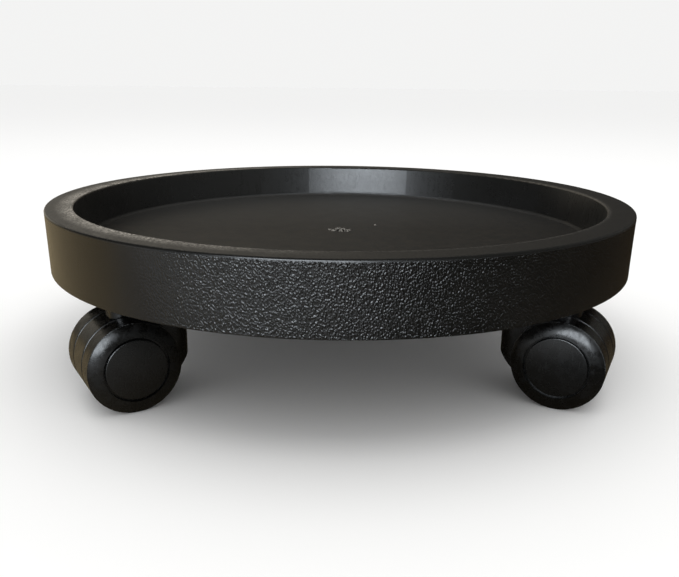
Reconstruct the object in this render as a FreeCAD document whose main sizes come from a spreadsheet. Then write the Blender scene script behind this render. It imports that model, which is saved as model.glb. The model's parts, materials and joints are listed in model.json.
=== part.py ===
"""Round plant pot caddy: a dished tray on four swivelling twin-wheel casters.

Millimetres, +Z up, origin on the floor under the middle of the tray.
"""

import FreeCAD, Part
import math
import os
from types import SimpleNamespace

import Sketcher

# ---------------------------------------------------------------- driving dimensions

DIMENSIONS = [
    # tray
    ("tray_radius", 150.0, "outer radius of the rim"),
    ("total_height", 78.0, "floor to the top of the rim"),
    ("skirt_height", 30.0, "height of the outer wall"),
    ("skirt_draft", 0.6, "how far the outer wall leans in at its foot"),
    ("dish_radius", 136.8, "radius of the dish at the rim"),
    ("dish_draft", 2.3, "how far the dish wall leans in at its foot"),
    ("dish_depth", 19.5, "rim to the floor of the dish"),
    ("wall", 2.4, "wall thickness of the moulding"),
    ("rim_round", 1.0, "rounding of the rim's outer edge"),
    ("lip_round", 0.9, "rounding of the rim's inner edge"),
    ("foot_round", 2.2, "rounding where the dish wall meets its floor"),
    ("skirt_edge_round", 0.7, "rounding of the skirt's lower edge"),
    ("open_corner", 1.02, "radius of an arc across a slightly open corner, as a share of its legs"),
    ("rib_thickness", 1.8, "thickness of the ribs"),
    ("rib_depth", 5.0, "depth of the ribs under the floor"),
    ("rib_count", 24.0, "radial ribs under the floor, and in the rim"),
    ("rib_hub_radius", 18.0, "radius of the smallest ring rib"),
    ("rib_ring_pitch", 26.0, "spacing of the ring ribs"),
    ("rib_ring_count", 5.0, "ring ribs under the floor"),
    ("rim_rib_clearance", 6.0, "how far above the skirt's lower edge the rim ribs meet it"),
    ("gate_radius", 2.0, "radius of the moulding mark in the middle of the dish"),
    ("gate_height", 0.5, "height of the moulding mark"),
    ("cutter_margin", 1.0, "how far a cutting outline runs past the face that it cuts"),
    # sockets and stems
    ("caster_count", 4.0, "casters, evenly spaced"),
    ("stem_circle_radius", 112.0, "radius of the circle that the four stems stand on"),
    ("socket_radius", 8.0, "outer radius of a caster socket"),
    ("socket_bore_radius", 4.2, "radius of the socket's bore"),
    ("socket_base", 47.6, "height of the socket's lower face"),
    ("stem_radius", 4.0, "radius of the stem"),
    ("stem_foot", 24.0, "height of the stem's lower end"),
    ("stem_length", 31.4, "length of the stem"),
    ("stem_chamfer", 0.8, "chamfer at the stem's ends"),
    ("collar_radius", 6.6, "radius of the stem's thrust collar"),
    ("collar_thickness", 1.4, "thickness of the thrust collar"),
    ("snap_groove_height", 27.0, "height of the groove that holds the stem in its housing"),
    ("snap_groove_width", 2.0, "width of that groove"),
    ("snap_groove_depth", 0.5, "depth of that groove"),
    ("ring_groove_height", 49.9, "height of the grip ring's groove"),
    ("ring_width", 3.0, "width of the grip ring"),
    ("ring_groove_radius", 3.4, "radius at the bottom of the grip ring's groove"),
    ("ring_slot", 1.6, "gap in the split grip ring"),
    # caster body
    ("trail", 21.5, "distance from the stem's axis to the axle"),
    ("axle_height", 20.0, "height of the axle"),
    ("body_half_width", 7.0, "half the width of the caster body"),
    ("body_top", 45.9, "height of the caster body's flat top"),
    ("block_back", 27.5, "distance from the stem's axis to the back of the block"),
    ("block_round", 5.0, "rounding of the block's upright edges at the back"),
    ("body_base", 7.5, "height of the caster body's lowest face"),
    ("nose_height", 18.5, "height where the nose of the body starts to slope back"),
    ("nose_slope_height", 12.2, "height where the nose's slope turns flatter"),
    ("nose_slope_back", 6.2, "how far the nose has sloped back by then"),
    ("belly_start", 5.0, "where the body's lowest face starts behind the stem"),
    ("fender_radius", 20.0, "radius of the round fender between the wheels"),
    ("fender_round", 0.5, "rounding of the fender's edges"),
    ("body_round", 0.8, "rounding of the body's upper edges"),
    ("stem_gap", 0.06, "running clearance round the stem"),
    ("stem_end_gap", 0.5, "space under the stem in its bore"),
    ("snap_lip", 0.35, "how far the snap lip stands into the bore"),
    ("snap_lip_gap", 0.35, "space above and below the snap lip in its groove"),
    # axle
    ("axle_radius", 3.0, "radius of the axle"),
    ("axle_half_length", 16.4, "half the length of the axle"),
    ("axle_chamfer", 0.5, "chamfer at the axle's ends"),
    ("clip_inset", 0.7, "distance from the axle's end to the clip"),
    ("clip_thickness", 0.8, "thickness of the axle clip"),
    ("clip_groove_radius", 2.6, "radius at the bottom of the clip's groove"),
    ("clip_radius", 4.6, "outer radius of the axle clip"),
    ("clip_slot", 2.4, "width of the axle clip's opening"),
    # wheel
    ("wheel_radius", 20.0, "radius of the tread"),
    ("wheel_gap", 7.5, "distance from the caster's middle to a wheel's inner face"),
    ("tread_width", 9.6, "width of the tread"),
    ("tread_round", 0.6, "rounding of the tread's edges"),
    ("shoulder_rise", 2.3, "how far the shoulder stands out beyond the tread"),
    ("shoulder_bulge", 12.0, "radius of the shoulder's convex curve"),
    ("seat_radius", 14.1, "radius of the cap's seat"),
    ("web_outer", 9.0, "distance from the inner face to the web's outer side"),
    ("web_thickness", 2.4, "thickness of the web"),
    ("cup_radius", 17.4, "inner radius of the wheel's rim"),
    ("hub_radius", 6.4, "outer radius of the hub"),
    ("axle_gap", 0.05, "running clearance round the axle"),
    ("hub_recess_radius", 5.2, "radius of the recess that clears the axle clip"),
    ("hub_recess_floor", 7.2, "distance from the inner face to that recess's floor"),
    ("spoke_count", 6.0, "ribs inside each wheel"),
    ("spoke_thickness", 1.4, "thickness of those ribs"),
    ("spoke_set_back", 1.2, "distance from the wheel's inner face to those ribs"),
    ("spoke_overlap", 0.4, "how far those ribs run into the hub and the rim"),
    # cap
    ("cap_radius", 13.2, "radius of the raised disc"),
    ("cap_flange_gap", 0.05, "space round the cap's flange in its seat"),
    ("cap_flange_thickness", 1.1, "thickness of the cap's flange"),
    ("cap_edge_height", 2.9, "height of the raised disc's edge above the seat"),
    ("cap_dome", 0.64, "rise of the dome from its edge to its middle"),
    ("cap_dome_radius", 128.32, "radius of the dome, whose centre is on the axis"),
    ("cap_edge_round", 0.4, "rounding of the raised disc's edge"),
    ("cap_skin", 1.3, "thickness of the cap over its hollow"),
    ("cap_hollow_radius", 11.6, "radius of the hollow behind the cap"),
]

# How each caster points at rest: the direction, anticlockwise from +X, in which its wheels trail.
CASTERS = {
    "front_left": {"corner": 225.0, "trailing": 209.6},
    "front_right": {"corner": 315.0, "trailing": 331.1},
    "back_left": {"corner": 135.0, "trailing": 158.0},
    "back_right": {"corner": 45.0, "trailing": 62.0},
}
SIDES = {"a": 1.0, "b": -1.0}

FULL_TURN = 360.0


class Length:
    """A number together with the spreadsheet expression that gives it."""

    def __init__(self, value, text):
        self.value = value
        self.text = text

    @staticmethod
    def of(item):
        if isinstance(item, Length):
            return item
        return Length(float(item), repr(float(item)))

    def __add__(self, other):
        other = Length.of(other)
        return Length(self.value + other.value, f"({self.text} + {other.text})")

    def __radd__(self, other):
        return Length.of(other) + self

    def __sub__(self, other):
        other = Length.of(other)
        return Length(self.value - other.value, f"({self.text} - {other.text})")

    def __rsub__(self, other):
        return Length.of(other) - self

    def __mul__(self, other):
        other = Length.of(other)
        return Length(self.value * other.value, f"({self.text} * {other.text})")

    __rmul__ = __mul__

    def __neg__(self):
        return Length(-self.value, f"(-{self.text})")


ZERO = Length.of(0)

doc = FreeCAD.newDocument("plant_pot_caddy")


def make_sheet():
    """Writes the driving dimensions to the spreadsheet and returns them as Lengths."""
    sheet = doc.addObject("Spreadsheet::Sheet", "Sizes")
    sizes = {}
    for row, (alias, value, note) in enumerate(DIMENSIONS, start=1):
        sheet.set(f"A{row}", alias)
        sheet.set(f"B{row}", str(value))
        sheet.setAlias(f"B{row}", alias)
        sheet.set(f"C{row}", note)
        sizes[alias] = Length(value, f"Sizes.{alias}")
    doc.recompute()
    return SimpleNamespace(**sizes)


s = make_sheet()


# ---------------------------------------------------------------- sketches


class Corner:
    """A corner of an outline. With a bend, the edge that leads to it is an arc of that radius,
    turning left (+1) or right (-1)."""

    def __init__(self, x, y, bend=None, turn=1):
        self.x = Length.of(x)
        self.y = Length.of(y)
        self.bend = None if bend is None else Length.of(bend)
        self.turn = turn

    def vector(self):
        return FreeCAD.Vector(self.x.value, self.y.value, 0)


def origin_part(body, role):
    return next(f for f in body.Origin.OriginFeatures if f.Role == role)


def new_sketch(body, name, role, height, across=None):
    """A sketch on one of the body's planes, at a height above it and moved across it along X."""
    sketch = body.newObject("Sketcher::SketchObject", name)
    sketch.AttachmentSupport = [(origin_part(body, role), "")]
    sketch.MapMode = "FlatFace"
    if height is not None:
        sketch.setExpression("AttachmentOffset.Base.z", height.text)
    if across is not None:
        sketch.setExpression("AttachmentOffset.Base.x", across.text)
    return sketch


def bind(sketch, constraint, text):
    index = sketch.addConstraint(constraint)
    sketch.setExpression(f"Constraints[{index}]", text)


def pin_point(sketch, edge, end, x, y):
    """Fixes a point of a sketch at x and y, both bound to the spreadsheet."""
    for kind, axis, length in (("DistanceX", -2, x), ("DistanceY", -1, y)):
        if length.value == 0:
            sketch.addConstraint(Sketcher.Constraint("PointOnObject", edge, end, axis))
        elif length.value > 0:
            bind(sketch, Sketcher.Constraint(kind, -1, 1, edge, end, length.value), length.text)
        else:
            bind(sketch, Sketcher.Constraint(kind, edge, end, -1, 1, -length.value), (-length).text)


def arc_between(start, end, radius, turn):
    """The shorter arc from start to end; arcs always run anticlockwise, so a right turn is reversed."""
    if turn < 0:
        start, end = end, start
    chord = end - start
    left = FreeCAD.Vector(-chord.y, chord.x, 0).normalize()
    centre = (start + end) * 0.5 + left * math.sqrt(radius**2 - (chord.Length / 2) ** 2)
    first = math.atan2(start.y - centre.y, start.x - centre.x)
    last = math.atan2(end.y - centre.y, end.x - centre.x)
    circle = Part.Circle(centre, FreeCAD.Vector(0, 0, 1), radius)
    return Part.ArcOfCircle(circle, first, last)


def outline(body, name, role, corners, height=None, across=None):
    """A closed sketch through the corners, with every size bound to the spreadsheet."""
    sketch = new_sketch(body, name, role, height, across)
    starts = []
    ends = []
    for start, end in zip(corners, corners[1:] + corners[:1]):
        if end.bend is None:
            sketch.addGeometry(Part.LineSegment(start.vector(), end.vector()))
        else:
            sketch.addGeometry(arc_between(start.vector(), end.vector(), end.bend.value, end.turn))
        reversed_arc = end.bend is not None and end.turn < 0
        starts.append(2 if reversed_arc else 1)
        ends.append(1 if reversed_arc else 2)
    for edge, corner in enumerate(corners):
        before = (edge - 1) % len(corners)
        sketch.addConstraint(
            Sketcher.Constraint("Coincident", before, ends[before], edge, starts[edge])
        )
        pin_point(sketch, edge, starts[edge], corner.x, corner.y)
        if corner.bend is not None:
            bind(sketch, Sketcher.Constraint("Radius", before, corner.bend.value), corner.bend.text)
    return sketch


def add_circle(sketch, x, y, radius):
    circle = Part.Circle(
        FreeCAD.Vector(x.value, y.value, 0), FreeCAD.Vector(0, 0, 1), radius.value
    )
    edge = sketch.addGeometry(circle)
    pin_point(sketch, edge, 3, x, y)
    bind(sketch, Sketcher.Constraint("Radius", edge, radius.value), radius.text)


def disc(body, name, role, x, y, radii, height=None):
    """A sketch of one circle, or of a ring when two radii are given."""
    sketch = new_sketch(body, name, role, height)
    for radius in radii:
        add_circle(sketch, Length.of(x), Length.of(y), radius)
    return sketch


def bar(body, name, x_from, x_to, thickness, height):
    """A long thin rectangle along X, centred on it, at a height above the XY plane."""
    half = thickness * 0.5
    corners = [
        Corner(x_from, -half),
        Corner(x_to, -half),
        Corner(x_to, half),
        Corner(x_from, half),
    ]
    return outline(body, name, "XY_Plane", corners, height)


# ---------------------------------------------------------------- features


def new_body(name):
    body = doc.addObject("PartDesign::Body", name)
    body.Label = name
    return body


def finish_feature(body, feature, sketch=None):
    if sketch is not None:
        sketch.Visibility = False
    body.Tip = feature
    doc.recompute()
    return feature


def revolve(body, name, sketch, kind="Revolution"):
    feature = body.newObject(f"PartDesign::{kind}", name)
    feature.Profile = sketch
    feature.ReferenceAxis = (sketch, ["V_Axis"])
    feature.Angle = FULL_TURN
    return finish_feature(body, feature, sketch)


def pad(body, name, sketch, length, symmetric=False):
    feature = body.newObject("PartDesign::Pad", name)
    feature.Profile = sketch
    feature.setExpression("Length", length.text)
    if symmetric:
        feature.SideType = "Symmetric"
    return finish_feature(body, feature, sketch)


def pocket(body, name, sketch, length=None):
    """Cuts for a length, or right through on both sides. It must remove material."""
    volume = body.Shape.Volume
    feature = body.newObject("PartDesign::Pocket", name)
    feature.Profile = sketch
    if length is None:
        feature.Type = "ThroughAll"
        feature.SideType = "Symmetric"
    else:
        feature.Reversed = True
        feature.setExpression("Length", length.text)
    finish_feature(body, feature, sketch)
    if body.Shape.Volume >= volume:
        raise RuntimeError(f"{body.Label}: {name} removes nothing")
    return feature


def around(body, name, original, count):
    """Repeats a feature round the body's Z axis."""
    pattern = body.newObject("PartDesign::PolarPattern", name)
    pattern.Originals = [original]
    pattern.Axis = (origin_part(body, "Z_Axis"), [""])
    pattern.Angle = FULL_TURN
    pattern.setExpression("Occurrences", count.text)
    return finish_feature(body, pattern)


def round_edges(body, name, base, radius, wanted):
    """Rounds the edges of a feature that the test picks out."""
    names = [f"Edge{i}" for i, edge in enumerate(base.Shape.Edges, start=1) if wanted(edge)]
    if not names:
        raise RuntimeError(f"{body.Label}: {name} finds no edges")
    feature = body.newObject("PartDesign::Fillet", name)
    feature.Base = (base, names)
    feature.setExpression("Radius", radius.text)
    return finish_feature(body, feature)


# ---------------------------------------------------------------- tray


def tray_section():
    """Half the tray's cross-section, from the middle of the dish out to the skirt and back underneath."""
    top = s.total_height
    skirt_foot = top - s.skirt_height
    dish_floor = top - s.dish_depth
    underside = dish_floor - s.wall
    dish_foot = s.dish_radius - s.dish_draft
    skirt_outer_foot = s.tray_radius - s.skirt_draft
    edge = s.skirt_edge_round
    section = [
        Corner(0, dish_floor + s.gate_height),
        Corner(s.gate_radius, dish_floor + s.gate_height),
        Corner(s.gate_radius, dish_floor),
        Corner(dish_foot - s.foot_round, dish_floor),
        Corner(dish_foot, dish_floor + s.foot_round, s.foot_round * s.open_corner, 1),
        Corner(s.dish_radius, top - s.lip_round),
        Corner(s.dish_radius + s.lip_round, top, s.lip_round * s.open_corner, -1),
        Corner(s.tray_radius - s.rim_round, top),
        Corner(s.tray_radius, top - s.rim_round, s.rim_round, -1),
        Corner(skirt_outer_foot, skirt_foot + edge),
        Corner(skirt_outer_foot - edge, skirt_foot, edge, -1),
        Corner(skirt_outer_foot - s.wall + edge, skirt_foot),
        Corner(skirt_outer_foot - s.wall, skirt_foot + edge, edge, -1),
        Corner(s.tray_radius - s.wall, top - s.wall),
        Corner(s.dish_radius + s.wall, top - s.wall),
        Corner(dish_foot + s.wall, underside),
    ]
    for ring in reversed(range(int(s.rib_ring_count.value))):
        middle = s.rib_hub_radius + s.rib_ring_pitch * ring
        inner = middle - s.rib_thickness * 0.5
        outer = middle + s.rib_thickness * 0.5
        section += [
            Corner(outer, underside),
            Corner(outer, underside - s.rib_depth),
            Corner(inner, underside - s.rib_depth),
            Corner(inner, underside),
        ]
    section.append(Corner(0, underside))
    return section


def make_tray():
    body = new_body("tray")
    revolve(body, "tray_shell", outline(body, "tray_section", "XZ_Plane", tray_section()))
    top = s.total_height
    underside = top - s.dish_depth - s.wall
    into_floor = s.wall * 0.5

    rib = bar(
        body,
        "floor_rib_outline",
        s.rib_hub_radius,
        s.dish_radius - s.dish_draft + s.wall * 0.5,
        s.rib_thickness,
        underside - s.rib_depth,
    )
    first = pad(body, "floor_rib", rib, s.rib_depth + into_floor)
    around(body, "floor_ribs", first, s.rib_count)

    # Each rim rib joins the dish wall, the rim and the skirt, so its edges run inside all three.
    inside = s.wall * 0.5
    skirt_middle = s.tray_radius - s.skirt_draft - inside
    rib_base = top - s.skirt_height + s.rim_rib_clearance
    rib = outline(
        body,
        "rim_rib_outline",
        "XZ_Plane",
        [
            Corner(s.dish_radius - s.dish_draft + inside, underside + inside),
            Corner(skirt_middle, rib_base),
            Corner(skirt_middle, top - inside),
            Corner(s.dish_radius + inside, top - inside),
        ],
    )
    first = pad(body, "rim_rib", rib, s.rib_thickness, symmetric=True)
    around(body, "rim_ribs", first, s.rib_count)

    # The four sockets stand on the diagonals, so both coordinates of the first one are the same.
    diagonal = s.stem_circle_radius * math.sqrt(0.5)
    socket = disc(
        body, "socket_outline", "XY_Plane", diagonal, diagonal, [s.socket_radius], s.socket_base
    )
    first = pad(body, "socket", socket, underside + into_floor - s.socket_base)
    around(body, "sockets", first, s.caster_count)
    bore = disc(
        body, "bore_outline", "XY_Plane", diagonal, diagonal, [s.socket_bore_radius], s.socket_base
    )
    first = pocket(body, "socket_bore", bore, underside - s.socket_base)
    around(body, "socket_bores", first, s.caster_count)
    return body


# ---------------------------------------------------------------- stem and grip ring


def make_stem(name):
    body = new_body(name)
    foot = s.stem_foot
    tip = s.stem_foot + s.stem_length
    snap_radius = s.stem_radius - s.snap_groove_depth
    collar_base = s.socket_base - s.collar_thickness
    section = [
        Corner(0, foot),
        Corner(s.stem_radius - s.stem_chamfer, foot),
        Corner(s.stem_radius, foot + s.stem_chamfer),
        Corner(s.stem_radius, s.snap_groove_height),
        Corner(snap_radius, s.snap_groove_height),
        Corner(snap_radius, s.snap_groove_height + s.snap_groove_width),
        Corner(s.stem_radius, s.snap_groove_height + s.snap_groove_width),
        Corner(s.stem_radius, collar_base),
        Corner(s.collar_radius, collar_base),
        Corner(s.collar_radius, s.socket_base),
        Corner(s.stem_radius, s.socket_base),
        Corner(s.stem_radius, s.ring_groove_height),
        Corner(s.ring_groove_radius, s.ring_groove_height),
        Corner(s.ring_groove_radius, s.ring_groove_height + s.ring_width),
        Corner(s.stem_radius, s.ring_groove_height + s.ring_width),
        Corner(s.stem_radius, tip - s.stem_chamfer),
        Corner(s.stem_radius - s.stem_chamfer, tip),
        Corner(0, tip),
    ]
    revolve(body, f"{name}_turned", outline(body, f"{name}_section", "XZ_Plane", section))
    return body


def make_split_ring(name, inner, outer, base, thickness, slot):
    """A flat ring about Z with an opening towards +X."""
    body = new_body(name)
    ring = disc(body, f"{name}_ring", "XY_Plane", ZERO, ZERO, [outer, inner], base)
    pad(body, f"{name}_band", ring, thickness)
    gap = bar(body, f"{name}_gap", ZERO, outer * 2, slot, base)
    pocket(body, f"{name}_slot", gap, thickness)
    return body


# ---------------------------------------------------------------- caster body and axle


def caster_side():
    """The block seen from the side: stem housing in front, flat top, and a nose that slopes back below."""
    front = -s.body_half_width
    return [
        Corner(front, s.nose_height),
        Corner(front + s.nose_slope_back, s.nose_slope_height),
        Corner(s.belly_start, s.body_base),
        Corner(s.trail, s.body_base),
        Corner(s.block_back, s.axle_height),
        Corner(s.block_back, s.body_top),
        Corner(front, s.body_top),
    ]


def block_cuts():
    """What is cut from the block in plan: a half-circle about the stem in front, round corners behind."""
    half = s.body_half_width
    outside = half + s.cutter_margin
    back = s.block_back
    turn_in = back - s.block_round
    nose = [
        Corner(0, -outside),
        Corner(0, -half),
        Corner(-half, 0, half, -1),
        Corner(0, half, half, -1),
        Corner(0, outside),
        Corner(-outside, outside),
        Corner(-outside, -outside),
    ]
    rear = [
        Corner(turn_in, -outside),
        Corner(turn_in, -half),
        Corner(back, s.block_round - half, s.block_round, 1),
        Corner(back, half - s.block_round),
        Corner(turn_in, half, s.block_round, 1),
        Corner(turn_in, outside),
        Corner(back + outside, outside),
        Corner(back + outside, -outside),
    ]
    return {"nose": nose, "rear": rear}


def fender_section():
    """Half the fender's section across its width, with the axle along the sketch's Y."""
    half = s.body_half_width
    radius = s.fender_radius
    bend = s.fender_round
    return [
        Corner(0, -half),
        Corner(radius - bend, -half),
        Corner(radius, bend - half, bend, 1),
        Corner(radius, half - bend),
        Corner(radius - bend, half, bend, 1),
        Corner(0, half),
    ]


def make_caster_body(name):
    body = new_body(name)
    side = outline(body, f"{name}_side", "XZ_Plane", caster_side())
    pad(body, f"{name}_block", side, s.body_half_width * 2, symmetric=True)
    for part, corners in block_cuts().items():
        cut = outline(body, f"{name}_{part}_outline", "XY_Plane", corners)
        pocket(body, f"{name}_{part}", cut)
    fender = outline(
        body,
        f"{name}_fender_section",
        "XY_Plane",
        fender_section(),
        height=s.axle_height,
        across=s.trail,
    )
    revolve(body, f"{name}_fender", fender)

    # The fender is cut off flat at the body's lowest face.
    reach = s.trail + s.fender_radius * 2
    below = outline(
        body,
        f"{name}_below",
        "XZ_Plane",
        [
            Corner(-reach, -s.wheel_radius),
            Corner(reach, -s.wheel_radius),
            Corner(reach, s.body_base),
            Corner(-reach, s.body_base),
        ],
    )
    shaped = pocket(body, f"{name}_flat", below)

    top = s.body_top.value
    round_edges(
        body,
        f"{name}_top_round",
        shaped,
        s.body_round,
        lambda edge: all(abs(v.Z - top) < 1e-6 for v in edge.Vertexes),
    )

    bore_radius = s.stem_radius + s.stem_gap
    lip_base = s.snap_groove_height + s.snap_lip_gap
    lip_top = s.snap_groove_height + s.snap_groove_width - s.snap_lip_gap
    bore = [
        Corner(0, s.stem_foot - s.stem_end_gap),
        Corner(bore_radius, s.stem_foot - s.stem_end_gap),
        Corner(bore_radius, lip_base),
        Corner(bore_radius - s.snap_lip, lip_base),
        Corner(bore_radius - s.snap_lip, lip_top),
        Corner(bore_radius, lip_top),
        Corner(bore_radius, s.body_top),
        Corner(0, s.body_top),
    ]
    volume = body.Shape.Volume
    revolve(
        body, f"{name}_stem_bore", outline(body, f"{name}_bore", "XZ_Plane", bore), kind="Groove"
    )
    if body.Shape.Volume >= volume:
        raise RuntimeError(f"{name}: the stem bore removes nothing")
    axle = disc(body, f"{name}_axle_hole", "XZ_Plane", s.trail, s.axle_height, [s.axle_radius])
    pocket(body, f"{name}_axle_bore", axle)
    return body


def make_axle(name):
    """The axle along Z, centred on its middle, with a clip groove near each end."""
    body = new_body(name)
    end = s.axle_half_length
    clip_outer = end - s.clip_inset
    clip_inner = clip_outer - s.clip_thickness
    upper = [
        Corner(s.axle_radius, clip_inner),
        Corner(s.clip_groove_radius, clip_inner),
        Corner(s.clip_groove_radius, clip_outer),
        Corner(s.axle_radius, clip_outer),
        Corner(s.axle_radius, end - s.axle_chamfer),
        Corner(s.axle_radius - s.axle_chamfer, end),
        Corner(0, end),
    ]
    lower = [Corner(corner.x, -corner.y) for corner in reversed(upper)]
    section = outline(body, f"{name}_section", "XZ_Plane", lower + upper)
    revolve(body, f"{name}_turned", section)
    return body


# ---------------------------------------------------------------- wheel and cap


def make_wheel(name):
    """A wheel about Z, with its inner face at zero and its outer face towards +Z."""
    body = new_body(name)
    edge = s.tread_round
    shoulder_top = s.tread_width + s.shoulder_rise
    web_inner = s.web_outer - s.web_thickness
    bore_radius = s.axle_radius + s.axle_gap
    section = [
        Corner(bore_radius, 0),
        Corner(s.hub_radius, 0),
        Corner(s.hub_radius, web_inner),
        Corner(s.cup_radius, web_inner),
        Corner(s.cup_radius, 0),
        Corner(s.wheel_radius - edge, 0),
        Corner(s.wheel_radius, edge, edge, 1),
        Corner(s.wheel_radius, s.tread_width - edge * 0.5),
        Corner(s.wheel_radius - edge * 0.5, s.tread_width, edge * 0.5, 1),
        Corner(s.seat_radius, shoulder_top, s.shoulder_bulge, 1),
        Corner(s.seat_radius, s.web_outer),
        Corner(s.hub_recess_radius, s.web_outer),
        Corner(s.hub_recess_radius, s.hub_recess_floor),
        Corner(bore_radius, s.hub_recess_floor),
    ]
    revolve(body, f"{name}_turned", outline(body, f"{name}_section", "XZ_Plane", section))
    spoke = bar(
        body,
        f"{name}_spoke_outline",
        s.hub_radius - s.spoke_overlap,
        s.cup_radius + s.spoke_overlap,
        s.spoke_thickness,
        s.spoke_set_back,
    )
    first = pad(body, f"{name}_spoke", spoke, web_inner + s.web_thickness * 0.5 - s.spoke_set_back)
    around(body, f"{name}_spokes", first, s.spoke_count)
    return body


def make_cap(name):
    """The cover pressed into a wheel's seat, standing on zero and domed towards +Z."""
    body = new_body(name)
    flange = s.seat_radius - s.cap_flange_gap
    round_off = s.cap_edge_round
    section = [
        Corner(0, s.cap_edge_height + s.cap_dome - s.cap_skin),
        Corner(s.cap_hollow_radius, s.cap_edge_height - s.cap_skin),
        Corner(s.cap_hollow_radius, 0),
        Corner(flange, 0),
        Corner(flange, s.cap_flange_thickness),
        Corner(s.cap_radius, s.cap_flange_thickness),
        Corner(s.cap_radius, s.cap_edge_height - round_off),
        Corner(s.cap_radius - round_off, s.cap_edge_height, round_off, 1),
        Corner(0, s.cap_edge_height + s.cap_dome, s.cap_dome_radius, 1),
    ]
    revolve(body, f"{name}_turned", outline(body, f"{name}_section", "XZ_Plane", section))
    return body


# ---------------------------------------------------------------- assembly


def turned(axis, angle):
    return FreeCAD.Placement(FreeCAD.Vector(), FreeCAD.Rotation(axis, angle))


def moved(x, y, z):
    return FreeCAD.Placement(FreeCAD.Vector(x, y, z), FreeCAD.Rotation())


X_AXIS = FreeCAD.Vector(1, 0, 0)
Z_AXIS = FreeCAD.Vector(0, 0, 1)
QUARTER_TURN = 90.0


def make_caster(place, corner, trailing):
    """One complete caster with its stem, in its resting direction."""
    radius = s.stem_circle_radius.value
    angle = math.radians(corner)
    stand = moved(radius * math.cos(angle), radius * math.sin(angle), 0)
    caster = stand * turned(Z_AXIS, trailing)
    at_axle = caster * moved(s.trail.value, 0, s.axle_height.value)

    stem = make_stem(f"stem_{place}")
    stem.Placement = stand
    ring = make_split_ring(
        f"grip_ring_{place}",
        s.ring_groove_radius,
        s.socket_bore_radius,
        s.ring_groove_height,
        s.ring_width,
        s.ring_slot,
    )
    ring.Placement = stand
    body = make_caster_body(f"caster_body_{place}")
    body.Placement = caster
    axle = make_axle(f"axle_{place}")
    axle.Placement = at_axle * turned(X_AXIS, -QUARTER_TURN)
    pieces = [stem, ring, body, axle]

    for side, sign in SIDES.items():
        # Local +Z of a wheel points outwards along the axle.
        outwards = at_axle * turned(X_AXIS, -QUARTER_TURN * sign)
        wheel = make_wheel(f"wheel_{place}_{side}")
        wheel.Placement = outwards * moved(0, 0, s.wheel_gap.value)
        cap = make_cap(f"cap_{place}_{side}")
        cap.Placement = outwards * moved(0, 0, s.wheel_gap.value + s.web_outer.value)
        clip_base = s.axle_half_length - s.clip_inset - s.clip_thickness
        clip = make_split_ring(
            f"axle_clip_{place}_{side}",
            s.clip_groove_radius,
            s.clip_radius,
            clip_base,
            s.clip_thickness,
            s.clip_slot,
        )
        clip.Placement = outwards
        pieces += [wheel, cap, clip]
    return pieces


def check(pieces):
    """Stops if any object failed, or if a piece isn't one valid solid."""
    for item in doc.Objects:
        if "Invalid" in item.State or "Error" in item.State:
            raise RuntimeError(f"{item.Label}: {item.State}")
    for piece in pieces:
        shape = piece.Shape
        if shape.isNull() or not shape.isValid() or len(shape.Solids) != 1:
            raise RuntimeError(f"{piece.Label}: not one valid solid")


pieces = [make_tray()]
for place, angles in CASTERS.items():
    pieces += make_caster(place, angles["corner"], angles["trailing"])
doc.recompute()
check(pieces)

os.makedirs("parts", exist_ok=True)
for piece in pieces:
    piece.Shape.exportStep(os.path.join("parts", piece.Label + ".step"))
print(f"{len(pieces)} parts written")
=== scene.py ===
"""A round black plant pot caddy: a shallow tray on four twin-wheel casters, in a plain pale studio."""

import json
import math

import bpy
from mathutils import Matrix, Vector


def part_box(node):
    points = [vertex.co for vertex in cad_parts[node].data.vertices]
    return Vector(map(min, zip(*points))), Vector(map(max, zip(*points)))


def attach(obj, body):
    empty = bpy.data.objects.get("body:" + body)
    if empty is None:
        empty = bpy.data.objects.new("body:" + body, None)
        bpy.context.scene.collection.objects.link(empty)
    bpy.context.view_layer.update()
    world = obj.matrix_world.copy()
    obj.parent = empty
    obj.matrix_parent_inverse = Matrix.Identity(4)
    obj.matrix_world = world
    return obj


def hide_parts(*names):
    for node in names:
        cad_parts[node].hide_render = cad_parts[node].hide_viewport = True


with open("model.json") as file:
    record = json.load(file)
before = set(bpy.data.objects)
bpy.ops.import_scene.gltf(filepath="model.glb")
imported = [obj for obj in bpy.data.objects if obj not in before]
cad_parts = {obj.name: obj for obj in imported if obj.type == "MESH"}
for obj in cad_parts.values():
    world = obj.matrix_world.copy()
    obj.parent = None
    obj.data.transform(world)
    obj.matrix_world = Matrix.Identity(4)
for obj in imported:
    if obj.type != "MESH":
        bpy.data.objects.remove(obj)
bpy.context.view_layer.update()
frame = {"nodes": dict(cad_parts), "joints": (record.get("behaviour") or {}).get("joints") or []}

MM = 0.001

# The tray's own sizes: the skirt at its foot and the rim's inner lip, from the middle, then the heights
# of the rim and of the dish's floor, and the number of ribs inside the rim.
SKIRT_FOOT_RADIUS = 149.4 * MM
LIP_RADIUS = 136.8 * MM
RIM_HEIGHT = 78.0 * MM
FLOOR_HEIGHT = 58.5 * MM
RIBS = 24


# ---------------------------------------------------------------- materials


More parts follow.
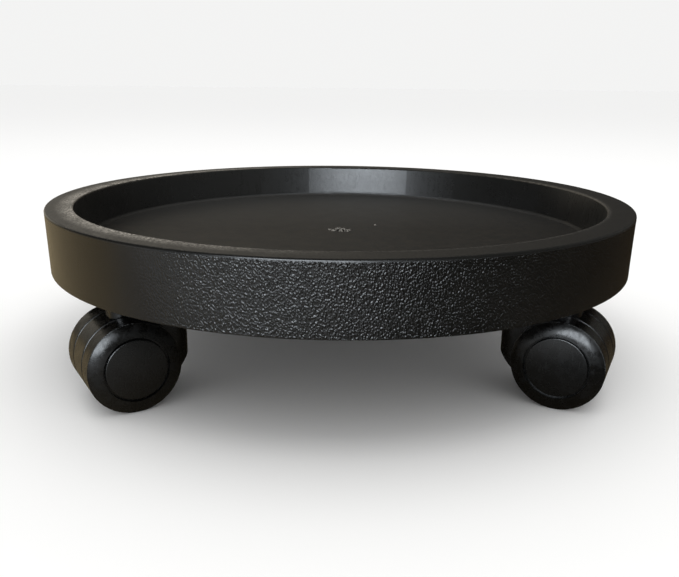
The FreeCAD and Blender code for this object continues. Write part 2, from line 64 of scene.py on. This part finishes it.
class Shader:
    """Builds one procedural material from nodes. Sizes are in metres."""

    def __init__(self, name, **surface):
        self.material = bpy.data.materials.new(name)
        self.material.use_nodes = True
        self.tree = self.material.node_tree
        self.tree.nodes.clear()
        output = self.add("ShaderNodeOutputMaterial")
        self.surface = self.add("ShaderNodeBsdfPrincipled")
        self.tree.links.new(self.surface.outputs["BSDF"], output.inputs["Surface"])
        for socket, value in surface.items():
            self.set(socket.replace("_", " "), value)
        self.place = self.add("ShaderNodeTexCoord").outputs["Object"]

    def add(self, kind, **settings):
        node = self.tree.nodes.new(kind)
        for setting, value in settings.items():
            setattr(node, setting, value)
        return node

    def feed(self, socket, value):
        if isinstance(value, bpy.types.NodeSocket):
            self.tree.links.new(value, socket)
        else:
            socket.default_value = value

    def set(self, socket, value):
        self.feed(self.surface.inputs[socket], value)

    def math(self, operation, *values, clamp=False):
        node = self.add("ShaderNodeMath", operation=operation, use_clamp=clamp)
        for socket, value in zip(node.inputs, values):
            self.feed(socket, value)
        return node.outputs["Value"]

    def vector(self, operation, *values):
        node = self.add("ShaderNodeVectorMath", operation=operation)
        for socket, value in zip(node.inputs, values):
            self.feed(socket, value)
        return node.outputs["Value" if operation in ("LENGTH", "DISTANCE") else "Vector"]

    def twisted(self, place, turn):
        """A place turned about the Z axis."""
        node = self.add("ShaderNodeVectorRotate", rotation_type="Z_AXIS")
        self.feed(node.inputs["Vector"], place)
        self.feed(node.inputs["Angle"], turn)
        return node.outputs["Vector"]

    def split(self, vector):
        node = self.add("ShaderNodeSeparateXYZ")
        self.feed(node.inputs["Vector"], vector)
        return node.outputs["X"], node.outputs["Y"], node.outputs["Z"]

    def join(self, x, y, z):
        node = self.add("ShaderNodeCombineXYZ")
        for socket, value in zip(node.inputs, (x, y, z)):
            self.feed(socket, value)
        return node.outputs["Vector"]

    def stretched(self, x, y, z):
        """The object's own coordinates, scaled along each axis."""
        return self.vector("MULTIPLY", self.place, (x, y, z))

    def noise(self, size, detail=2.0, roughness=0.5, where=None):
        node = self.add("ShaderNodeTexNoise")
        self.feed(node.inputs["Vector"], where or self.place)
        node.inputs["Scale"].default_value = 1.0 / size
        node.inputs["Detail"].default_value = detail
        node.inputs["Roughness"].default_value = roughness
        return node.outputs["Fac"]

    def wander(self, size, amount, where=None):
        """Coordinates pushed about by noise of one size, by up to half the amount each way."""
        node = self.add("ShaderNodeTexNoise")
        self.feed(node.inputs["Vector"], where or self.place)
        node.inputs["Scale"].default_value = 1.0 / size
        node.inputs["Detail"].default_value = 1.0
        centred = self.vector("SUBTRACT", node.outputs["Color"], (0.5, 0.5, 0.5))
        push = self.vector("MULTIPLY", centred, (amount, amount, amount))
        return self.vector("ADD", where or self.place, push)

    def cells(self, size, feature="F1", where=None):
        node = self.add("ShaderNodeTexVoronoi", feature=feature)
        self.feed(node.inputs["Vector"], where or self.place)
        node.inputs["Scale"].default_value = 1.0 / size
        return node.outputs["Distance"]

    def ramp(self, value, start, end, low=0.0, high=1.0, smooth=False):
        node = self.add(
            "ShaderNodeMapRange",
            clamp=True,
            interpolation_type="SMOOTHSTEP" if smooth else "LINEAR",
        )
        for socket, item in zip(node.inputs, (value, start, end, low, high)):
            self.feed(socket, item)
        return node.outputs["Result"]

    def mix(self, low, high, share):
        """A colour between low and high."""
        node = self.add("ShaderNodeMix", data_type="RGBA")
        self.feed(node.inputs["Factor"], share)
        self.feed(node.inputs["A"], (*low, 1.0) if isinstance(low, tuple) else low)
        self.feed(node.inputs["B"], (*high, 1.0) if isinstance(high, tuple) else high)
        return node.outputs["Result"]

    def blend(self, low, high, share):
        """A number between low and high."""
        span = self.math("SUBTRACT", high, low)
        return self.math("MULTIPLY_ADD", span, share, low)

    def bump(self, height, depth, under=None):
        """A relief of the given depth for a height from 0 to 1."""
        node = self.add("ShaderNodeBump")
        node.inputs["Distance"].default_value = depth
        self.feed(node.inputs["Height"], height)
        if under is not None:
            self.feed(node.inputs["Normal"], under)
        return node.outputs["Normal"]


def tray_material():
    """Black polypropylene: leather grain outside, a rubbed dusty rim with painted sheen and a painted
    highlight on its inner lip, satin inside with a painted sheen at the back, matt on the floor and paler
    towards its back.
    """
    m = Shader("tray_plastic", IOR=1.49)
    x, y, z = m.split(m.place)
    radius = m.vector("LENGTH", m.join(x, y, 0.0))
    outer = m.ramp(radius, SKIRT_FOOT_RADIUS - 1.6 * MM, SKIRT_FOOT_RADIUS - 1.0 * MM)
    wall = m.math("MULTIPLY", outer, m.ramp(z, RIM_HEIGHT - 1.4 * MM, RIM_HEIGHT - 1.0 * MM, 1.0, 0.0))
    top = m.ramp(z, RIM_HEIGHT - 1.2 * MM, RIM_HEIGHT - 0.8 * MM)
    rim = m.math("MULTIPLY", top, m.ramp(radius, LIP_RADIUS - 0.2 * MM, LIP_RADIUS + 0.4 * MM))
    flat = m.ramp(z, RIM_HEIGHT - 0.2 * MM, RIM_HEIGHT - 0.1 * MM)
    inner = m.ramp(radius, LIP_RADIUS + 0.6 * MM, LIP_RADIUS + 1.4 * MM, 1.0, 0.0)
    inside = m.math("MULTIPLY", inner, m.ramp(z, FLOOR_HEIGHT - 0.5 * MM, FLOOR_HEIGHT - 0.2 * MM))
    low = m.ramp(z, FLOOR_HEIGHT + 0.7 * MM, FLOOR_HEIGHT + 2.1 * MM, 1.0, 0.0)
    floor = m.math("MULTIPLY", inside, low)

    # Leather grain: small pebbles, drawn out upwards on a slight slant, with narrow winding valleys.
    # It fades out towards the left of the tray.
    slanted = m.twisted(m.vector("MULTIPLY", m.place, (1.0, 1.0, 0.66)), m.math("MULTIPLY", z, 1.0))
    drawn = m.wander(0.8 * MM, 0.25 * MM, slanted)
    pebbles = m.cells(0.62 * MM, "SMOOTH_F1", drawn)
    swell = m.noise(0.57 * MM, 2.0, 0.5, where=slanted)
    leather = m.math("MULTIPLY_ADD", swell, 0.8, m.ramp(pebbles, 0.10, 0.60, 1.0, 0.0))
    leather = m.math("MULTIPLY", leather, m.ramp(x, -0.088, -0.046, 0.08, 1.0, smooth=True))

    # The dish wall bends slightly at each rib of the rim, and its surface is speckled.
    turn = m.math("MULTIPLY_ADD", m.math("ARCTAN2", y, x), RIBS / math.tau, 0.5)
    across = m.math("MULTIPLY_ADD", m.math("FRACT", turn), 2.0, -1.0)
    facet = m.math("SUBTRACT", 1.0, m.math("MULTIPLY", across, across))
    dish = m.math("SUBTRACT", inside, floor)
    facet = m.math("MULTIPLY", facet, dish)
    fine = m.noise(0.38 * MM, 3.0, 0.65)

    under = m.bump(m.math("MULTIPLY", leather, wall), 0.28 * MM)
    under = m.bump(facet, 0.22 * MM, under)
    not_wall = m.math("SUBTRACT", 1.0, wall)
    speckled = m.math("MULTIPLY", fine, m.math("ADD", not_wall, m.math("MULTIPLY", inside, 0.8)))
    normal = m.bump(speckled, 0.018 * MM, under)
    m.set("Normal", normal)

    patches = m.noise(34 * MM, 4.0, 0.6)
    base = m.mix((0.0040, 0.0037, 0.0031), (0.0066, 0.0060, 0.0050), m.ramp(patches, 0.35, 0.7))
    grains = m.ramp(m.noise(1.1 * MM, 3.0, 0.8), 0.44, 0.60)
    # The rim top: dust in grains, with painted sheen that makes it paler on the left and towards the inner
    # edge, where it catches the light.
    dust_and_sheen = m.math("MULTIPLY", m.ramp(x, 0.01, -0.11, smooth=True), m.ramp(radius, 0.1455, 0.1395, 0.10, 1.0))
    dust_and_sheen = m.math("MULTIPLY", dust_and_sheen, m.ramp(m.noise(9 * MM, 4.0, 0.65), 0.34, 0.60, 0.35, 1.0))
    dust_and_sheen = m.math("MULTIPLY", m.math("ADD", dust_and_sheen, 0.03), flat)
    # A painted highlight: a pale band along the inner lip of the rim top, merged into the dust.
    lip = m.math("MULTIPLY", m.ramp(radius, LIP_RADIUS + 1.0 * MM, LIP_RADIUS + 2.8 * MM, 0.16, 0.0), rim)
    dust_and_sheen = m.math("MAXIMUM", dust_and_sheen, lip)
    grains = m.math("MULTIPLY_ADD", grains, 0.90, 0.10)
    # The pale dust colour, which also carries the painted sheen and the painted lip highlight.
    base = m.mix(base, (0.44, 0.405, 0.35), m.math("MULTIPLY", grains, dust_and_sheen))
    dusty = m.math("MULTIPLY", m.ramp(m.noise(3.0 * MM, 4.0, 0.7), 0.40, 0.75), floor)
    base = m.mix(base, (0.022, 0.017, 0.011), dusty)
    # The dish floor is painted paler and greyer towards the back.
    paler_to_back = m.math("MULTIPLY", floor, m.ramp(y, 0.0, 0.11))
    base = m.mix(base, (0.030, 0.029, 0.026), paler_to_back)
    # Painted sheen: the back of the dish wall, facing the window light, is painted a paler grey.
    back_wall_sheen = m.math("MULTIPLY", dish, m.ramp(y, 0.06, 0.135, smooth=True))
    m.set("Base Color", m.mix(base, (0.016, 0.016, 0.015), back_wall_sheen))

    streaks = m.noise(2.2 * MM, 3.0, 0.6, where=m.stretched(1.0, 1.0, 0.12))
    speckle = m.math("MULTIPLY", m.ramp(m.noise(0.6 * MM, 2.0, 0.7), 0.45, 0.70), 0.16)
    satin = m.math("ADD", m.blend(0.24, 0.32, streaks), speckle)
    rough = m.blend(0.44, satin, inside)
    rough = m.blend(rough, 0.58, floor)
    rough = m.blend(rough, 0.24, wall)
    rough = m.blend(rough, 0.28, rim)
    rough = m.blend(rough, 0.52, flat)
    vary = m.math("MULTIPLY_ADD", m.noise(12 * MM, 3.0), 0.08, -0.04)
    m.set("Roughness", m.math("ADD", rough, vary, clamp=True))
    return m.material


def moulded_material(name, low, high, rough, stained, grain_depth, dust=0.0, ior=1.5):
    """Dark moulded plastic with a fine grain, uneven gloss and a few scuffs."""
    m = Shader(name, IOR=ior)
    patches = m.noise(14 * MM, 4.0, 0.6)
    base = m.mix(low, high, m.ramp(patches, 0.35, 0.7))
    specks = m.ramp(m.noise(1.4 * MM, 4.0, 0.75), 0.52, 0.80)
    m.set("Base Color", m.mix(base, (0.060, 0.050, 0.038), m.math("MULTIPLY", specks, dust)))
    scuffs = m.ramp(m.noise(1.1 * MM, 3.0, 0.6, where=m.stretched(1.0, 1.0, 0.15)), 0.60, 0.75)
    stains = m.ramp(m.noise(4 * MM, 4.0, 0.65), 0.38, 0.62)
    uneven = m.math("MULTIPLY_ADD", stains, stained, rough)
    m.set("Roughness", m.math("MULTIPLY_ADD", scuffs, 0.10, uneven, clamp=True))
    fine = m.noise(0.5 * MM, 2.0, 0.6)
    m.set("Normal", m.bump(fine, grain_depth))
    return m.material


def scar_material():
    """Freshly torn plastic: paler and glossier than the moulded skin round it."""
    m = Shader("scar_plastic", IOR=1.49)
    torn = m.noise(0.5 * MM, 3.0, 0.7)
    m.set("Base Color", m.mix((0.030, 0.028, 0.024), (0.34, 0.32, 0.29), m.ramp(torn, 0.45, 0.60)))
    m.set("Roughness", m.ramp(torn, 0.3, 0.7, 0.14, 0.40))
    m.set("Normal", m.bump(torn, 0.12 * MM))
    return m.material


def steel_material(name, colour, dull, rough):
    """Plated or oiled steel with fine turning lines and a dull bloom."""
    m = Shader(name, Metallic=1.0)
    bloom = m.ramp(m.noise(4 * MM, 4.0, 0.65), 0.4, 0.7)
    m.set("Base Color", m.mix(colour, dull, bloom))
    lines = m.noise(0.35 * MM, 2.0, 0.6, where=m.stretched(0.2, 0.2, 1.0))
    m.set("Roughness", m.math("MULTIPLY_ADD", lines, 0.16, rough - 0.08, clamp=True))
    m.set("Normal", m.bump(lines, 0.008 * MM))
    return m.material


MATERIALS = {
    "tray": tray_material(),
    "caster_body": moulded_material(
        "caster_plastic",
        low=(0.0022, 0.0022, 0.0020),
        high=(0.0036, 0.0034, 0.0030),
        rough=0.22,
        stained=0.08,
        grain_depth=0.010 * MM,
    ),
    "wheel": moulded_material(
        "wheel_plastic",
        low=(0.0030, 0.0029, 0.0026),
        high=(0.0050, 0.0048, 0.0042),
        rough=0.19,
        stained=0.17,
        grain_depth=0.008 * MM,
        dust=0.12,
        ior=1.41,
    ),
    "cap": moulded_material(
        "cap_plastic",
        low=(0.0024, 0.0024, 0.0022),
        high=(0.0040, 0.0039, 0.0035),
        rough=0.25,
        stained=0.04,
        grain_depth=0.010 * MM,
    ),
    "stem": steel_material("zinc_steel", (0.60, 0.60, 0.58), (0.42, 0.42, 0.42), 0.34),
    "grip_ring": steel_material("spring_steel", (0.30, 0.29, 0.28), (0.16, 0.15, 0.14), 0.42),
}
MATERIALS["gate"] = scar_material()
MATERIALS["axle"] = MATERIALS["stem"]
MATERIALS["axle_clip"] = MATERIALS["grip_ring"]


CAP_SEAT = 16.5 * MM
TRAY_FLOOR = Vector((0.0, 0.0, FLOOR_HEIGHT))


def kind_of(node):
    """The longest material key that the node's name starts with."""
    return max((key for key in MATERIALS if node.startswith(key)), key=len)


for node, piece in frame["nodes"].items():
    piece.data.materials.clear()
    piece.data.materials.append(MATERIALS[kind_of(node)])


# ---------------------------------------------------------------- caps and the gate scar


def make_piece(name, points, faces, like, body):
    """A smooth mesh object with the finish of a CAD node, riding on a body."""
    mesh = bpy.data.meshes.new(name)
    mesh.from_pydata(points, [], faces)
    mesh.shade_smooth()
    mesh.set_sharp_from_angle(angle=math.radians(35))
    mesh.materials.append(MATERIALS[kind_of(like)])
    piece = bpy.data.objects.new(name, mesh)
    bpy.context.scene.collection.objects.link(piece)
    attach(piece, body)
    return piece


def bend(middle, radius, start, end, steps):
    """Points on an arc, by radius from the axis and height. Angles are in degrees from the plane."""
    angles = (math.radians(start + (end - start) * i / steps) for i in range(steps + 1))
    return [(middle[0] + radius * math.cos(a), middle[1] + radius * math.sin(a)) for a in angles]


def cap_profile():
    """From the middle of the dome out, down the edge and back under the flange, in millimetres."""
    dome_radius, dome_top, dome_reach = 128.32, 3.54, 12.8
    side, edge_round, edge_height = 13.2, 0.48, 2.44
    flange_reach, flange_top, bore = 14.05, 1.1, 11.6
    rim_angle = 90 - math.degrees(math.asin(dome_reach / dome_radius))
    dome = bend((0.0, dome_top - dome_radius), dome_radius, 89.9, rim_angle, 24)
    rounded = bend((side - edge_round, edge_height), edge_round, 84, 0, 8)
    flange = [(side, flange_top), (flange_reach, flange_top), (flange_reach, 0.0), (bore, 0.0)]
    hollow = [(bore, 1.6), (0.2, 2.2)]
    return [*dome[:-1], *rounded, *flange, *hollow]


def turned_on(axis, origin, profile, steps):
    """Points and faces of a profile, in millimetres, turned about an axis from an origin."""
    across = axis.orthogonal().normalized()
    along = axis.cross(across)
    points = []
    for radius, height in profile:
        for i in range(steps):
            angle = math.tau * i / steps
            out = across * math.cos(angle) + along * math.sin(angle)
            points.append(origin + (axis * height + out * radius) * MM)
    rings = [range(r * steps, (r + 1) * steps) for r in range(len(profile))]
    faces = [tuple(rings[0]), tuple(reversed(rings[-1]))]
    for inner, outer in zip(rings, rings[1:]):
        for i in range(steps):
            j = (i + 1) % steps
            faces.append((inner[j], inner[i], outer[i], outer[j]))
    return points, faces


def make_caps():
    for joint in frame["joints"]:
        if not joint["name"].startswith("roll_"):
            continue
        wheel = joint["name"].removeprefix("roll_")
        low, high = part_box(f"cap_{wheel}")
        middle = Vector(joint["pos_m"])
        axis = Vector(joint["axis"]).normalized()
        if axis.dot((low + high) / 2 - middle) < 0:
            axis = -axis
        points, faces = turned_on(axis, middle + axis * CAP_SEAT, cap_profile(), 128)
        cover = make_piece(f"cap_cover_{wheel}", points, faces, f"cap_{wheel}", f"wheel_{wheel}")
        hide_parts(f"cap_{wheel}")


def make_scar():
    """The torn stub left where the moulding's gate was broken off, and a speck beside it."""
    # The place (x, y), half length, half width and height of each lump, in millimetres.
    lumps = [
        (-5.6, 2.2, 1.2, 1.3, 0.50), (-3.7, -0.8, 1.6, 1.0, 0.70), (-1.7, 2.6, 1.3, 1.6, 1.10),
        (0.2, -2.2, 1.1, 2.2, 1.20), (1.9, 1.8, 1.7, 1.3, 1.00), (3.6, -1.8, 1.2, 1.7, 0.95),
        (5.2, 1.0, 0.9, 1.2, 0.60), (-0.4, 6.0, 1.0, 1.0, 0.50), (20.6, 14.5, 0.8, 1.1, 0.80),
    ]
    rings, steps = 6, 18
    sunk = 0.05
    points, faces = [], []
    for number, (x, y, long, wide, tall) in enumerate(lumps):
        first = len(points)
        for ring in range(1, rings + 1):
            out = ring / rings
            for step in range(steps):
                angle = math.tau * step / steps
                rough = 1.0 + 0.22 * math.sin(3 * angle + number) + 0.12 * math.sin(7 * angle + 2 * number)
                crest = tall * (1.0 - out**2) * (1.0 + 0.5 * math.sin(5 * angle + number) * out)
                along = x + long * out * rough * math.cos(angle)
                across = y + wide * out * rough * math.sin(angle)
                height = crest - (sunk if ring == rings else 0.0)
                points.append(Vector((along, across, height)) * MM + TRAY_FLOOR)
        points.append(Vector((x, y, tall)) * MM + TRAY_FLOOR)
        top = len(points) - 1
        for step in range(steps):
            after = (step + 1) % steps
            faces.append((first + step, first + after, top))
            for ring in range(rings - 1):
                inner, outer = first + ring * steps, first + (ring + 1) * steps
                faces.append((outer + step, outer + after, inner + after, inner + step))
    make_piece("gate_scar", points, faces, "gate", "tray")


make_caps()
make_scar()


# ---------------------------------------------------------------- stage


def make_floor():
    """A pale paper floor that runs out to meet the equally pale room. Glossy rays see shaded boards."""
    mesh = bpy.data.meshes.new("floor")
    reach = 40.0
    corners = [(-reach, -reach, 0.0), (reach, -reach, 0.0), (reach, reach, 0.0), (-reach, reach, 0.0)]
    mesh.from_pydata(corners, [], [(0, 1, 2, 3)])
    floor = bpy.data.objects.new("floor", mesh)
    bpy.context.scene.collection.objects.link(floor)
    m = Shader("floor_paper", Roughness=1.0)
    m.set("Specular IOR Level", 0.0)
    x, y, _ = m.split(m.place)
    boards = m.mix((0.36, 0.288, 0.175), (0.034, 0.024, 0.013), m.ramp(x, -0.26, 0.34, smooth=True))
    shade = m.mix((0.030, 0.030, 0.028), (0.30, 0.29, 0.27), m.ramp(x, 0.08, -0.04, smooth=True))
    glare = m.math("MULTIPLY", m.ramp(y, -0.19, -0.24, smooth=True), m.ramp(x, 0.07, -0.08, smooth=True))
    shade = m.mix(shade, (0.80, 0.83, 0.86), glare)
    boards = m.mix(shade, boards, m.ramp(y, -0.17, -0.08, smooth=True))
    mirrored = m.add("ShaderNodeLightPath").outputs["Is Glossy Ray"]
    m.set("Base Color", m.mix((0.93, 0.93, 0.925), boards, mirrored))
    floor.data.materials.append(m.material)


def softbox(name, azimuth, elevation, distance, width, height, power, colour):
    """An area light aimed at the tray. Azimuth 0 is behind the viewer, and positive is to the right."""
    light = bpy.data.lights.new(name, "AREA")
    light.shape = "RECTANGLE"
    light.size = width
    light.size_y = height
    light.energy = power
    light.color = colour
    lamp = bpy.data.objects.new(name, light)
    bpy.context.scene.collection.objects.link(lamp)
    across, up = math.radians(azimuth), math.radians(elevation)
    away = Vector(
        (
            math.sin(across) * math.cos(up),
            -math.cos(across) * math.cos(up),
            math.sin(up),
        )
    )
    target = Vector((0.0, 0.0, 0.05))
    lamp.location = target + away * distance
    lamp.rotation_mode = "QUATERNION"
    lamp.rotation_quaternion = away.to_track_quat("Z", "Y")
    return lamp


def make_lights():
    window = softbox(
        "window_light",
        azimuth=-15,
        elevation=19,
        distance=1.5,
        width=1.10,
        height=0.66,
        power=32,
        colour=(0.86, 0.93, 1.0),
    )
    window.visible_diffuse = False
    top = softbox(
        "top_light",
        azimuth=0,
        elevation=88,
        distance=1.6,
        width=1.6,
        height=1.6,
        power=8,
        colour=(1.0, 0.99, 0.97),
    )
    top.visible_glossy = False


class World:
    """The room: one even pale light, and what dark glossy surfaces mirror of it."""

    def __init__(self):
        world = bpy.data.worlds.new("room")
        bpy.context.scene.world = world
        world.use_nodes = True
        self.tree = world.node_tree
        self.tree.nodes.clear()
        output = self.tree.nodes.new("ShaderNodeOutputWorld")
        rays = self.tree.nodes.new("ShaderNodeLightPath")
        even = self.glow((1.0, 1.0, 1.0), 0.95)
        seen = self.either(rays.outputs["Is Camera Ray"], even, self.glow((0.90, 0.90, 0.895), 1.0))
        mirrored = self.glow(self.mirrored(), 1.0)
        self.tree.links.new(
            self.either(rays.outputs["Is Glossy Ray"], seen, mirrored), output.inputs["Surface"]
        )

    def feed(self, socket, value):
        if isinstance(value, bpy.types.NodeSocket):
            self.tree.links.new(value, socket)
        else:
            socket.default_value = (*value, 1.0) if isinstance(value, tuple) else value

    def glow(self, colour, strength):
        node = self.tree.nodes.new("ShaderNodeBackground")
        self.feed(node.inputs["Color"], colour)
        self.feed(node.inputs["Strength"], strength)
        return node.outputs[0]

    def either(self, share, low, high):
        node = self.tree.nodes.new("ShaderNodeMixShader")
        for socket, value in zip(node.inputs, (share, low, high)):
            self.tree.links.new(value, socket)
        return node.outputs[0]

    def fade(self, value, start, end, low, high):
        """A colour that goes from low to high as the value goes from start to end."""
        ramp = self.tree.nodes.new("ShaderNodeMapRange")
        ramp.interpolation_type = "SMOOTHSTEP"
        for socket, item in zip(ramp.inputs, (value, start, end)):
            self.feed(socket, item)
        mix = self.tree.nodes.new("ShaderNodeMix")
        mix.data_type = "RGBA"
        for name, item in (("Factor", ramp.outputs["Result"]), ("A", low), ("B", high)):
            self.feed(mix.inputs[name], item)
        return mix.outputs["Result"]

    def mirrored(self):
        """What glossy surfaces mirror: a dim room, palest at the back on the left."""
        place = self.tree.nodes.new("ShaderNodeTexCoord")
        axes = self.tree.nodes.new("ShaderNodeSeparateXYZ")
        self.feed(axes.inputs["Vector"], place.outputs["Generated"])
        across, away, up = (axes.outputs[axis] for axis in "XYZ")
        back = self.fade(across, -0.75, 0.45, (0.82, 0.75, 0.62), (0.048, 0.039, 0.027))
        front = self.fade(across, -0.60, 0.50, (0.070, 0.073, 0.072), (0.13, 0.135, 0.13))
        room = self.fade(away, 0.50, 0.86, front, back)
        return self.fade(up, -0.05, 0.05, (0.05, 0.04, 0.03), room)


def make_camera():
    """The viewpoint of the picture: close, a little above the tray, turned by a fraction of a degree."""
    data = bpy.data.cameras.new("camera")
    data.sensor_width = 36.0
    data.lens = 38.13
    data.clip_start = 0.02
    data.clip_end = 50.0
    camera = bpy.data.objects.new("camera", data)
    bpy.context.scene.collection.objects.link(camera)
    heading = math.radians(87.75)
    pitch = 0.275
    roll = 0.010
    camera.location = (-0.0153, -0.3897, 0.1353)
    camera.rotation_mode = "QUATERNION"
    camera.rotation_quaternion = (
        Matrix.Rotation(heading - math.radians(90), 3, "Z")
        @ Matrix.Rotation(math.radians(90) - pitch, 3, "X")
        @ Matrix.Rotation(roll, 3, "Z")
    ).to_quaternion()
    bpy.context.scene.camera = camera


make_floor()
make_lights()
World()
make_camera()
bpy.context.scene.view_settings.view_transform = "Standard"
